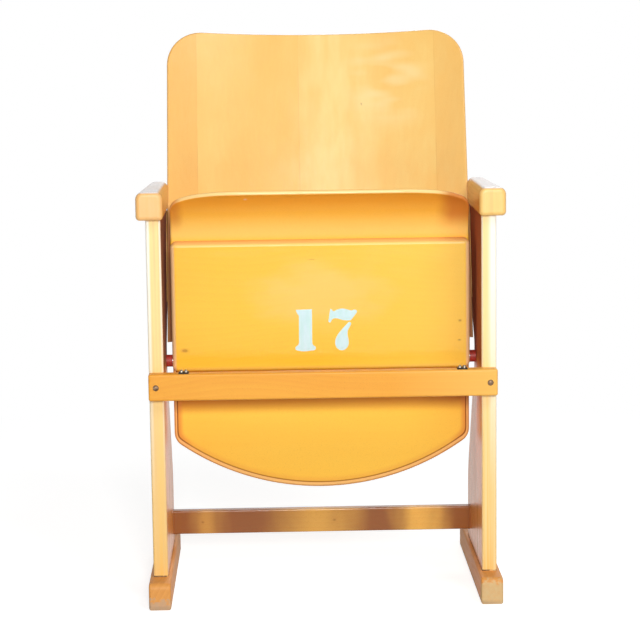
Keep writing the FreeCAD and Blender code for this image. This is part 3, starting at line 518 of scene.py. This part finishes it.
def painted_bend_shading(wires, place, colour, rough):
    """Painted light at the start of the seat's front bend, and painted shade deeper in its hollow."""
    height = wires.parts(place)[2]
    hollow = wires.spread(height, LIP_AXIS[2] + 0.018, LIP_AXIS[2] + 0.062, 0.0, 0.55, smooth=True)
    above = wires.spread(height, LIP_AXIS[2] - 0.005, LIP_AXIS[2] + 0.004)
    paler = wires.product(above, wires.spread(height, LIP_AXIS[2] + 0.040, LIP_AXIS[2] + 0.012), 0.35)
    colour = wires.mixed(paler, colour, BEND_PAINTED_LIGHT)
    return wires.mixed(hollow, colour, HOLLOW_PAINTED_SHADE), rough


# Painted highlight on the end of the seat's front bend.
LIP_HIGHLIGHT = shade(255, 226, 156)


def painted_lip_highlight(wires, place, colour, rough):
    """A painted highlight on the end of the seat's front bend."""
    facing = wires.node("ShaderNodeTexCoord").outputs["Normal"]
    from_axis = wires.node("ShaderNodeVectorMath", {0: place, 1: LIP_AXIS}, operation="SUBTRACT").outputs[0]
    flat = wires.stretched(from_axis, 0.0, 1.0, 1.0)
    spoke = wires.node("ShaderNodeVectorMath", {0: flat}, operation="NORMALIZE").outputs[0]
    edge = wires.spread(wires.sum_up("ABSOLUTE", wires.agreement(facing, spoke)), 0.85, 0.6)
    end = wires.spread(wires.agreement(facing, LIP_END), 0.2, 0.4)
    upper = wires.spread(wires.parts(place)[2], LIP_AXIS[2], LIP_AXIS[2] + 0.01)
    return wires.mixed(wires.product(edge, end, upper, 0.85), colour, LIP_HIGHLIGHT), rough


REAR_RIM = 0.0024
EDGE_HONEY = shade(226, 146, 60)
EDGE_TAN = shade(246, 190, 118)
EDGE_LINE = shade(140, 74, 16)


def lined_edge(wires, place, colour, rough):
    """The seat's rear and side edges: a dark line, tan outside it, deep honey inside it."""
    across, _, height = wires.parts(place)
    from_side = wires.sum_up("SUBTRACT", BOARD_HALF, wires.sum_up("ABSOLUTE", across))
    centre = wires.sum_up("SUBTRACT", height, SWEEP_AXIS)
    from_rear = wires.sum_up("SUBTRACT", REAR_SWEEP - REAR_RIM, radius_of(wires, across, centre))
    inset = wires.sum_up("SMOOTH_MIN", from_side, from_rear, 0.010)
    low = wires.spread(height, 0.42, 0.36)
    beside = wires.spread(from_side, 0.030, 0.012, 0.35, 0.9)
    inside = wires.product(wires.spread(inset, 0.016, 0.007, smooth=True), beside, low)
    colour = wires.mixed(inside, colour, EDGE_HONEY)
    line = wires.product(wires.spread(inset, 0.0040, 0.0046), wires.spread(inset, 0.0066, 0.0058), low)
    outside = wires.product(wires.spread(inset, 0.0046, 0.0040), low)
    colour = wires.mixed(wires.product(outside, 0.85), colour, EDGE_TAN)
    strength = wires.spread(from_side, 0.030, 0.012, 0.75, 0.95)
    return wires.mixed(wires.product(line, strength), colour, EDGE_LINE), rough


# Painted shadow of the rail on the seat.
SHADED_HONEY = shade(206, 112, 20)


def painted_rail_shadow(wires, place, colour, rough):
    """A painted shadow of the rail on the underside of the seat, close behind and below the rail."""
    _, behind, height = wires.parts(place)
    underside = wires.spread(behind, BOARD_REAR + 0.0015, BOARD_REAR + 0.0005)
    below = wires.spread(height, 0.266, 0.290, smooth=True)
    above = wires.spread(height, 0.372, 0.352, smooth=True)
    return wires.mixed(wires.product(underside, below, above, 0.7), colour, SHADED_HONEY), rough


# Painted shade of the armrests on the seat's front corners.
ARMREST_SHADE_BROWN = shade(206, 118, 44)


def painted_armrest_shade(wires, place, colour, rough):
    """Painted shade and reflection of the armrests on the seat's front corners, more so on the right."""
    across, _, height = wires.parts(place)
    ragged = wires.sum_up("MULTIPLY_ADD", wires.noise(place, 30.0, 1.0), 0.016, -0.008)
    shifted = wires.sum_up("ADD", across, ragged)
    right = wires.spread(shifted, 0.170, 0.202, 0.0, 0.85, smooth=True)
    left = wires.spread(shifted, -0.206, -0.222, 0.0, 0.6, smooth=True)
    upper = wires.spread(height, 0.544, 0.576, smooth=True)
    corner = wires.product(wires.sum_up("MAXIMUM", left, right), upper)
    return wires.mixed(corner, colour, ARMREST_SHADE_BROWN), rough


def knot(across, height, width, tallness, share=0.6, tint=KNOT_BROWN):
    """A pin knot, or a small scar in the wood or its lacquer."""
    def touch(wires, place, colour, rough):
        parts = wires.parts(place)
        wide = wires.product(wires.sum_up("SUBTRACT", parts[0], across), 1 / width)
        tall = wires.product(wires.sum_up("SUBTRACT", parts[2], height), 1 / tallness)
        reach = radius_of(wires, wide, tall)
        ring = wires.spread(wires.sum_up("SINE", wires.product(reach, 7.0)), -1.0, 1.0, 0.55, 1.0)
        dark = wires.product(wires.spread(reach, 1.0, 0.3), ring, share)
        return wires.mixed(dark, colour, tint), rough
    return touch


# Seams between the leaves of veneer on the back in metres, and each leaf's tint from left to right.
LEAF_SEAMS = (-0.187, -0.027, 0.187)
LEAF_TINTS = (shade(234, 168, 74), shade(244, 200, 110), shade(245, 210, 128), shade(234, 190, 112))
SEAM_BROWN = shade(206, 142, 62)


def veneer_leaves(wires, place, colour, rough):
    """Four leaves of veneer side by side, each with its own tint and a hair-fine seam."""
    across = wires.parts(place)[0]
    tint = LEAF_TINTS[0]
    seams = 0.0
    for seam, next_tint in zip(LEAF_SEAMS, LEAF_TINTS[1:]):
        tint = wires.mixed(wires.sum_up("GREATER_THAN", across, seam), tint, next_tint)
        away = wires.sum_up("ABSOLUTE", wires.sum_up("SUBTRACT", across, seam))
        seams = wires.sum_up("MAXIMUM", seams, wires.spread(away, 0.0008, 0.0002))
    colour = wires.mixed(0.5, colour, tint)
    broken = wires.spread(wires.noise(place, 25.0, 3.0), 0.4, 0.6, 0.1, 0.4)
    return wires.mixed(wires.product(seams, broken), colour, SEAM_BROWN), rough


MOTTLE_HONEY = shade(244, 188, 96)
TOP_HONEY = shade(244, 184, 88)
FLAME_PALE = shade(255, 232, 160)
FLAME_MIDDLE = 0.025
FLAME_REACH = 0.095


def flame_figure(wires, place, colour, rough):
    """A pale flame near the middle of the back, which is warmer towards its top, and soft mottling."""
    across, _, height = wires.parts(place)
    mottle = wires.noise(wires.stretched(place, 26.0, 26.0, 15.0), 1.0, 3.0)
    colour = wires.mixed(wires.spread(mottle, 0.40, 0.72, 0.0, 0.4), colour, MOTTLE_HONEY)
    warm = wires.spread(height, 0.66, 0.84, 0.0, 0.35)
    colour = wires.mixed(warm, colour, TOP_HONEY)
    wander = wires.sum_up("SUBTRACT", wires.noise(wires.stretched(place, 7.0, 7.0, 9.0), 1.0, 2.0), 0.5)
    shifted = wires.sum_up("SUBTRACT", across, FLAME_MIDDLE)
    away = wires.sum_up("ABSOLUTE", wires.sum_up("MULTIPLY_ADD", wander, 0.10, shifted))
    near = wires.spread(away, FLAME_REACH, 0.0, smooth=True)
    tongues = wires.noise(wires.stretched(place, 45.0, 45.0, 4.0), 1.0, 2.0)
    flame = wires.product(near, wires.spread(tongues, 0.20, 0.65), 0.5)
    return wires.mixed(flame, colour, FLAME_PALE), rough


# Painted lamp reflection on the back's upper right.
REFLECTION_PALE = shade(254, 228, 168)
CLOUD_ACROSS = 0.115
CLOUD_HEIGHT = 0.770
CLOUD_REACH = 0.075


def painted_lamp_reflection(wires, place, colour, rough):
    """A painted lamp reflection: soft pale clouds across the figure, near the top of the back on its right.
    """
    across, _, height = wires.parts(place)
    wide = wires.product(wires.sum_up("SUBTRACT", across, CLOUD_ACROSS), 1 / CLOUD_REACH)
    tall = wires.product(wires.sum_up("SUBTRACT", height, CLOUD_HEIGHT), 1 / CLOUD_REACH)
    reach = radius_of(wires, wide, tall)
    bars = wires.noise(wires.stretched(place, 15.0, 15.0, 42.0), 1.0, 1.0)
    bars = wires.spread(bars, 0.42, 0.68)
    cloud = wires.product(wires.spread(reach, 1.2, 0.2, smooth=True), bars, 0.65)
    return wires.mixed(cloud, colour, REFLECTION_PALE), rough


RAIL_FADED = shade(248, 202, 108)


def paler_right(wires, place, colour, rough):
    """The rail, faded a little towards its right end."""
    across = wires.parts(place)[0]
    return wires.mixed(wires.spread(across, 0.10, 0.26, 0.0, 0.5), colour, RAIL_FADED), rough


# Painted reflections on the stretcher, as paler stretches: middle and reach along it in metres, and how
# pale.
PAINTED_REFLECTION_STRETCHES = ((-0.181, 0.036, 0.45), (-0.008, 0.100, 0.70), (0.162, 0.056, 0.95))
STRETCHER_STAIN = shade(128, 58, 14)


def stain_and_painted_reflections(wires, place, colour, rough):
    """The stretcher, stained dark, with a few paler stretches that are painted reflections."""
    across = wires.parts(place)[0]
    cloud = wires.noise(wires.stretched(place, 22.0, 9.0, 9.0), 1.0, 2.0)
    shifted = wires.sum_up("MULTIPLY_ADD", wires.sum_up("SUBTRACT", cloud, 0.5), 0.05, across)
    pale = 0.0
    for middle, reach, share in PAINTED_REFLECTION_STRETCHES:
        away = wires.sum_up("ABSOLUTE", wires.sum_up("SUBTRACT", shifted, middle))
        pale = wires.sum_up("MAXIMUM", pale, wires.spread(away, reach, 0.0, 0.0, share, smooth=True))
    return wires.mixed(wires.spread(pale, 0.0, 1.0, 0.9, 0.0), colour, STRETCHER_STAIN), rough


def plain_wood(name, pale, deep, turn):
    """Beech without lacquer."""
    material, wires, surface = bare_material(name)
    along = wires.node("ShaderNodeMapping", {"Vector": own_place(wires), "Rotation": turn}).outputs[0]
    grain = wires.group(GRAIN, {"Place": along, "Pale": pale, "Deep": deep, "Bands": 0.3, "Rings": 0.3,
                                "Streaks": 0.4, "Rays": 0.4})
    bump = wires.node("ShaderNodeBump", {"Height": grain["Height"], "Strength": 0.25, "Distance": 0.0004})
    finish = wires.node("ShaderNodeBsdfPrincipled", {
        "Base Color": grain["Colour"], "Roughness": 0.7, "Normal": bump.outputs[0]})
    wires.feed(surface, finish.outputs[0])
    return material


def steel(name, clean, dull, roughness):
    """Steel with a mottled skin and fine turning marks."""
    material, wires, surface = bare_material(name)
    place = own_place(wires)
    mottle = wires.spread(wires.noise(place, 240.0, 4.0, 0.65), 0.35, 0.68)
    brushed = wires.noise(wires.stretched(place, 300.0, 3000.0, 3000.0), 1.0, 2.0)
    bump = wires.node("ShaderNodeBump", {"Height": brushed, "Strength": 0.12, "Distance": 0.0002})
    finish = wires.node("ShaderNodeBsdfPrincipled", {
        "Base Color": wires.mixed(mottle, clean, dull), "Metallic": 1.0, "Normal": bump.outputs[0],
        "Roughness": wires.spread(mottle, 0.0, 1.0, roughness, roughness + 0.18)})
    wires.feed(surface, finish.outputs[0])
    return material


def moulded(name, bright, dark, roughness):
    """Fibre or rubber: faint mottling and a fine skin."""
    material, wires, surface = bare_material(name)
    place = own_place(wires)
    mottle = wires.spread(wires.noise(place, 320.0, 4.0, 0.6), 0.3, 0.7)
    skin = wires.noise(place, 2600.0, 2.0)
    bump = wires.node("ShaderNodeBump", {"Height": skin, "Strength": 0.2, "Distance": 0.0002})
    finish = wires.node("ShaderNodeBsdfPrincipled", {
        "Base Color": wires.mixed(mottle, bright, dark), "Normal": bump.outputs[0],
        "Roughness": wires.spread(mottle, 0.0, 1.0, roughness, roughness + 0.12)})
    wires.feed(surface, finish.outputs[0])
    return material


def number_paint():
    """Pale enamel, put on through a stencil and slightly streaked."""
    material, wires, surface = bare_material("number_paint")
    place = own_place(wires)
    streaks = wires.noise(wires.stretched(place, 190.0, 60.0, 40.0), 1.0, 3.0, 0.6)
    thin = wires.spread(streaks, 0.35, 0.7)
    brush = wires.noise(wires.stretched(place, 700.0, 700.0, 60.0), 1.0, 2.0)
    bump = wires.node("ShaderNodeBump", {"Height": brush, "Strength": 0.25, "Distance": 0.0003})
    finish = wires.node("ShaderNodeBsdfPrincipled", {
        "Base Color": wires.mixed(thin, shade(206, 234, 240), shade(192, 228, 228)),
        "Roughness": wires.spread(thin, 0.0, 1.0, 0.38, 0.5), "Normal": bump.outputs[0]})
    wires.feed(surface, finish.outputs[0])
    return material


def dress(material, *names):
    """Give a material to CAD pieces."""
    for name in names:
        mesh = nodes[name].data
        mesh.materials.clear()
        mesh.materials.append(material)


def dress_panels():
    """The side panels, with painted shade inside, darker on the left, and painted highlights on their
    fronts, less bright on the left one.
    """
    pale, deep = shade(246, 166, 80), shade(228, 140, 60)
    # Each side: seed, colour of the painted shade inside, streak tint of the painted highlight, painted
    # corner reflections.
    for side, seed, inside, tint, painted_highlight in (
            ("left", 1.3, shade(92, 22, 4), shade(236, 200, 140), painted_corner_highlights(0.003, 0.0065)),
            ("right", 5.1, shade(142, 56, 14), shade(250, 230, 174), painted_corner_highlights(0.002, 0.0130))):
        front = painted_highlight_end(PANEL_FRONT, 0.006, shade(252, 224, 150), shade(244, 194, 98), tint)
        touches = (painted_shade_inside(inside), front, painted_highlight, joint_line)
        dress(lacquered(f"{side}_panel_beech", pale, deep, ALONG_Z, seed, streaks=0.6, dull=0.08,
                        touches=touches), f"{side}_side_panel")


def dress_arms_and_feet():
    """The armrests, with painted highlights on their front ends and painted reflections on their tops, and
    the feet, each with its own worn front end.
    """
    pale, deep = shade(240, 184, 106), shade(222, 152, 76)
    # Armrests: painted highlight on the front end, painted reflection on the top.
    for side, seed, end in (("left", 2.2, shade(246, 192, 124)), ("right", 7.7, shade(248, 206, 120))):
        front = painted_highlight_end(ARM_FRONT, 0.005, end, end, shade(242, 186, 108))
        dress(lacquered(f"{side}_armrest_beech", pale, deep, ALONG_Y, seed, rub=0.5,
                        touches=(front, painted_arm_top_reflection)), f"{side}_armrest")
    pale, deep = shade(232, 166, 86), shade(208, 134, 64)
    for side, seed, line, worn in (("left", 3.4, 0.013, shade(196, 164, 134)),
                                   ("right", 8.9, 0.033, shade(214, 186, 136))):
        dress(lacquered(f"{side}_foot_beech", pale, deep, ALONG_Y, seed, marks=1.0, dull=0.3, sheen=0.3,
                        touches=(kicked_end(line, worn, 0.9), grimy_sole)), f"{side}_foot")


def dress_rails_and_back():
    """The front rail, the stretcher, the cleats and the plywood back."""
    dress(lacquered("rail_beech", shade(243, 176, 62), shade(231, 147, 45), ALONG_X, 4.6, bands=0.8,
                    rings=0.22, streaks=0.45, rub=0.1, dull=0.2, sheen=0.3, touches=(paler_right,)),
          "front_rail")
    knots = (knot(0.02, 0.0765, 0.004, 0.003), knot(-0.19, 0.0765, 0.004, 0.003))
    # The stretcher: dark stain, with painted reflections as paler stretches.
    dress(lacquered("stretcher_beech", shade(250, 198, 90), shade(240, 172, 70), ALONG_X, 6.2, rub=0.0,
                    touches=(stain_and_painted_reflections, *knots)), "stretcher")
    dress(lacquered("cleat_beech", shade(226, 170, 100), shade(204, 140, 70), ALONG_Z, 0.7),
          "left_back_cleat", "right_back_cleat")
    # The back's veneer figure, with a painted lamp reflection on the upper right and painted shade on the
    # lower sides.
    figure_and_painted_light = (veneer_leaves, flame_figure, painted_lamp_reflection, painted_shade_margins)
    dress(lacquered("back_plywood", shade(248, 216, 132), shade(234, 174, 80), ALONG_Z, 2.9, bands=1.3,
                    rings=0.0, streaks=0.7, layers=back_depth, touches=figure_and_painted_light), "backrest")


def dress_seat():
    """The seat's woods: the bent plywood and the board under it."""
    knots = (knot(-0.208, 0.371, 0.009, 0.005), knot(0.212, 0.411, 0.004, 0.003),
             knot(0.211, 0.381, 0.004, 0.002), knot(-0.013, 0.508, 0.009, 0.0012, 0.45))
    # The board: painted reflection, highlight and shade on its rim, with knots and a faded patch.
    dress(lacquered("board_beech", shade(255, 204, 62), shade(250, 186, 46), ALONG_X, 9.5, bands=0.7,
                    rings=0.15, streaks=0.2, touches=(faded_patch, *knots, painted_rim_light_and_shade)), "seat_board")
    scratch = knot(-0.112, 0.602, 0.004, 0.002, 0.5, shade(244, 226, 206))
    # The bent plywood: painted light and shade in the bend, on its lip, under the rail and at its corners,
    # with edge lines and a scratch.
    wear_and_painted_light = (painted_bend_shading, painted_lip_highlight, painted_rail_shadow, lined_edge, scratch, painted_armrest_shade)
    dress(lacquered("seat_plywood", shade(255, 208, 82), shade(248, 178, 54), ALONG_X, 4.1, bands=0.7,
                    rings=0.0, streaks=0.16, sheen=0.2, layers=shell_depth, touches=wear_and_painted_light), "seat_shell")


def dress_hardware():
    """Dowels, pegs, pins, screws, plates, spacers and buffers."""
    bare = (shade(222, 186, 138), shade(196, 152, 100))
    dress(plain_wood("dowel_beech", *bare, ALONG_Z), "foot_dowels", "armrest_dowels")
    dress(plain_wood("peg_beech", *bare, ALONG_X), "left_stop_peg", "right_stop_peg")
    dress(steel("turned_steel", shade(198, 198, 200), shade(150, 148, 146), 0.22),
          "left_pivot_pin", "right_pivot_pin", "left_pivot_sleeve", "right_pivot_sleeve")
    dress(steel("bright_screw_steel", shade(168, 158, 142), shade(120, 110, 98), 0.30), "rest_plate_screws")
    dress(steel("dull_screw_steel", shade(146, 122, 100), shade(98, 76, 54), 0.48),
          "front_rail_screws", "stretcher_screws", "back_cleat_screws", "backrest_screws", "seat_screws")
    dress(steel("blackened_steel", shade(58, 50, 46), shade(34, 30, 28), 0.38),
          "left_rest_plate", "right_rest_plate")
    dress(moulded("red_fibre", shade(176, 44, 26), shade(126, 28, 16), 0.45),
          "left_pivot_bush", "right_pivot_bush")
    dress(moulded("buffer_rubber", shade(44, 43, 42), shade(28, 27, 27), 0.62),
          "left_stop_buffer", "right_stop_buffer")


# Outlines of the painted stencil number on the board's face: x and z in millimetres, and whether the line
# turns a corner there.
ONE = [(-38.4, 431.3, True), (-13.7, 431.8, True), (-13.9, 380.0, True), (-12.4, 376.6, False),
       (-8.6, 373.2, False), (-9.4, 369.6, False), (-16.0, 368.2, False), (-24.5, 367.2, False),
       (-33.0, 367.9, False), (-39.4, 370.6, False), (-38.8, 374.4, False), (-35.2, 377.2, False),
       (-33.9, 380.5, True), (-33.6, 422.0, True), (-36.2, 425.6, False)]
SEVEN_TOP = [(14.4, 432.0, True), (16.0, 431.4, False), (18.7, 428.3, False), (24.0, 430.4, False),
             (31.5, 432.2, False), (39.0, 431.0, False), (46.5, 429.1, False), (51.5, 430.3, False),
             (54.8, 428.0, False), (52.0, 422.5, False), (45.2, 414.0, True), (38.5, 413.8, False),
             (32.0, 414.8, False), (24.0, 417.2, False), (18.0, 416.4, False), (14.2, 411.1, True),
             (11.9, 411.6, False), (12.2, 418.0, False), (13.2, 426.0, False)]
SEVEN_TAIL = [(43.2, 411.4, False), (45.6, 409.6, False), (44.2, 405.0, False), (40.8, 398.5, False),
              (40.2, 391.5, False), (41.6, 384.0, False), (41.6, 377.0, False), (37.6, 370.4, False),
              (31.8, 368.0, False), (25.6, 370.0, False), (21.8, 375.5, False), (21.6, 383.5, False),
              (25.0, 391.8, False), (32.0, 400.6, False), (39.5, 408.4, False)]
PAINT_THICKNESS = 0.00025


def painted_number():
    """The seat number as thin paint on the seat board."""
    curve = bpy.data.curves.new("seat_number_outline", "CURVE")
    curve.dimensions = "2D"
    curve.fill_mode = "BOTH"
    curve.resolution_u = 6
    curve.extrude = PAINT_THICKNESS / 2
    for outline in (ONE, SEVEN_TOP, SEVEN_TAIL):
        spline = curve.splines.new("BEZIER")
        spline.bezier_points.add(len(outline) - 1)
        spline.use_cyclic_u = True
        for point, (across, up, corner) in zip(spline.bezier_points, outline):
            point.co = (across / 1000, up / 1000, 0.0)
            point.handle_left_type = "VECTOR" if corner else "AUTO"
            point.handle_right_type = "VECTOR" if corner else "AUTO"
    drawn = bpy.data.objects.new("seat_number_drawn", curve)
    bpy.context.scene.collection.objects.link(drawn)
    mesh = bpy.data.meshes.new_from_object(drawn)
    bpy.data.objects.remove(drawn)
    upright = Matrix.Rotation(math.pi / 2, 4, "X")
    mesh.transform(Matrix.Translation((0.0, BOARD_FACE - PAINT_THICKNESS / 2, 0.0)) @ upright)
    number = bpy.data.objects.new("seat_number", mesh)
    bpy.context.scene.collection.objects.link(number)
    mesh.materials.clear()
    mesh.materials.append(number_paint())
    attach(number, "seat")


# The photograph's camera.
LENS_MM = 119.7
SENSOR_MM = 36.0
CAMERA_PLACE = Vector((-0.076, PANEL_FRONT - 3.123, 0.880))
CAMERA_YAW = math.radians(1.33)
CAMERA_PITCH = math.radians(8.25)
CAMERA_ROLL = math.radians(-0.73)


def set_camera():
    """A long lens a little above the armrests."""
    data = bpy.data.cameras.new("camera")
    data.sensor_fit = "HORIZONTAL"
    data.sensor_width = SENSOR_MM
    data.lens = LENS_MM
    camera = bpy.data.objects.new("camera", data)
    bpy.context.scene.collection.objects.link(camera)
    forward = math.cos(CAMERA_PITCH)
    ahead = Vector((math.sin(CAMERA_YAW) * forward, math.cos(CAMERA_YAW) * forward, -math.sin(CAMERA_PITCH)))
    level = Vector((math.cos(CAMERA_YAW), -math.sin(CAMERA_YAW), 0.0))
    right = math.cos(CAMERA_ROLL) * level + math.sin(CAMERA_ROLL) * level.cross(ahead)
    up = right.cross(ahead)
    turn = Matrix((right, up, -ahead)).transposed().to_4x4()
    camera.matrix_world = Matrix.Translation(CAMERA_PLACE) @ turn
    bpy.context.scene.camera = camera


def soft_lamp(name, place, aim, watts, width):
    """A square soft box."""
    data = bpy.data.lights.new(name, "AREA")
    data.energy = watts
    data.size = width
    lamp = bpy.data.objects.new(name, data)
    bpy.context.scene.collection.objects.link(lamp)
    lamp.location = place
    lamp.rotation_euler = (Vector(aim) - Vector(place)).to_track_quat("-Z", "Y").to_euler()


def seen_directly(wires):
    """1 for what the eye sees, straight, mirrored or through glass, and 0 for light falling on things."""
    path = wires.node("ShaderNodeLightPath").outputs
    seen = wires.sum_up("MAXIMUM", path["Is Camera Ray"], path["Is Glossy Ray"])
    return wires.sum_up("MAXIMUM", seen, path["Is Transmission Ray"])


FLOOR_EDGE = 40.0
FLOOR_GREY = (0.60, 0.60, 0.60, 1.0)
FLOOR_GLOW = 0.76
SHADOW_NEAR = 0.7
SHADOW_FAR = 1.5


def lay_floor():
    """A pale floor that keeps the shadow near the object and goes to plain white further off."""
    corners = [(-FLOOR_EDGE, -FLOOR_EDGE, 0), (FLOOR_EDGE, -FLOOR_EDGE, 0), (FLOOR_EDGE, FLOOR_EDGE, 0),
               (-FLOOR_EDGE, FLOOR_EDGE, 0)]
    mesh = bpy.data.meshes.new("floor")
    mesh.from_pydata(corners, [], [(0, 1, 2, 3)])
    floor = bpy.data.objects.new("floor", mesh)
    bpy.context.scene.collection.objects.link(floor)
    material, wires, surface = bare_material("floor_white")
    across, behind, _ = wires.parts(own_place(wires))
    far = wires.spread(radius_of(wires, across, behind), SHADOW_NEAR, SHADOW_FAR, smooth=True)
    matt = wires.node("ShaderNodeBsdfDiffuse", {"Color": FLOOR_GREY}).outputs[0]
    glow = wires.node("ShaderNodeEmission", {"Color": WHITE, "Strength": FLOOR_GLOW}).outputs[0]
    white = wires.node("ShaderNodeEmission", {"Color": WHITE, "Strength": 1.0}).outputs[0]
    lifted = wires.node("ShaderNodeAddShader", {0: matt, 1: glow}).outputs[0]
    seen = wires.node("ShaderNodeMixShader", {0: far, 1: lifted, 2: white}).outputs[0]
    shown = wires.node("ShaderNodeMixShader", {0: seen_directly(wires), 1: matt, 2: seen}).outputs[0]
    wires.feed(surface, shown)
    mesh.materials.append(material)


ROOM_FILL = 0.10

# Soft lamps: place and aim in metres, watts and width in metres.
LAMPS = {
    "front_lamp": ((0.1, -4.2, 1.42), (0.0, 0.0, 0.4), 124.0, 0.70),
    "high_lamp": ((1.8, -2.7, 3.5), (0.0, 0.0, 0.5), 60.0, 1.6),
    "rear_lamp": ((0.5, 3.4, 2.6), (0.0, 0.0, 0.4), 36.0, 1.6),
}


def light_studio():
    """White surroundings, a lamp close above the camera, a weaker one high on the right and one behind."""
    world = bpy.data.worlds.new("white_room")
    bpy.context.scene.world = world
    world.use_nodes = True
    world.node_tree.nodes.clear()
    wires = Wiring(world.node_tree)
    strength = wires.spread(seen_directly(wires), 0.0, 1.0, ROOM_FILL, 1.0)
    glow = wires.node("ShaderNodeBackground", {"Color": WHITE, "Strength": strength}).outputs[0]
    wires.feed(wires.node("ShaderNodeOutputWorld").inputs["Surface"], glow)
    for name, (place, aim, watts, width) in LAMPS.items():
        soft_lamp(name, place, aim, watts, width)


dress_panels()
dress_arms_and_feet()
dress_rails_and_back()
dress_seat()
dress_hardware()
painted_number()
set_camera()
lay_floor()
light_studio()
bpy.context.scene.view_settings.view_transform = "Standard"
